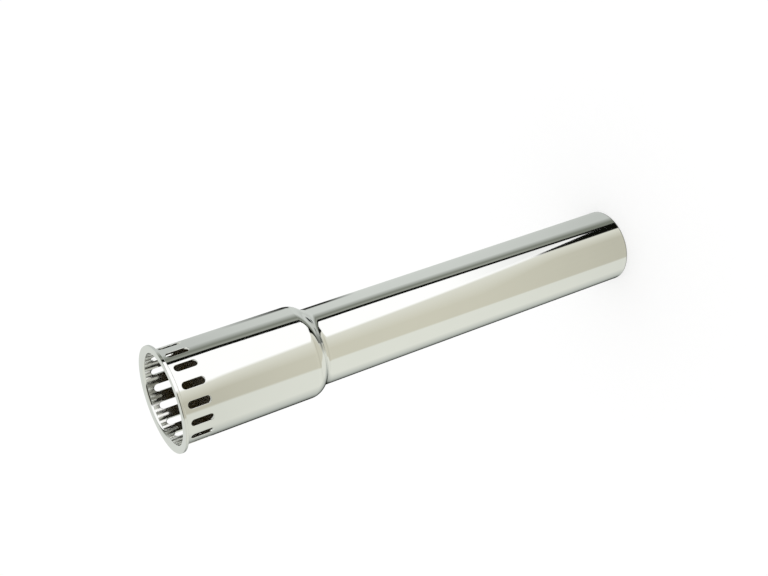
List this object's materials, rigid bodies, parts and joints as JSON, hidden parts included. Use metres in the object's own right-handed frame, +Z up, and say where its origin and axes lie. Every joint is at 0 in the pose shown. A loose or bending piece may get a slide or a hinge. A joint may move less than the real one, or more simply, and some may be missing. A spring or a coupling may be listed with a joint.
{
  "type": "flush tube",
  "caption": "Chromed brass flush tube with a flanged, slotted inlet chamber, a drawn shoulder and a narrower plain outlet that slips into a spud joint.",
  "frame": {"origin": "middle of the plain outlet's end, on the surface the tube stands on", "axes": "+Z up along the tube's axis, from the plain outlet towards the flanged inlet, as it is fitted below a flush valve; +X through the middle of one air slot"},
  "size_m": [0.0428, 0.0428, 0.2184],
  "materials": {
    "chrome": "bright chrome plate on drawn brass, polished"
  },
  "bodies": {
    "root": {"flush_tube": "chrome"}
  },
  "joints": []
}
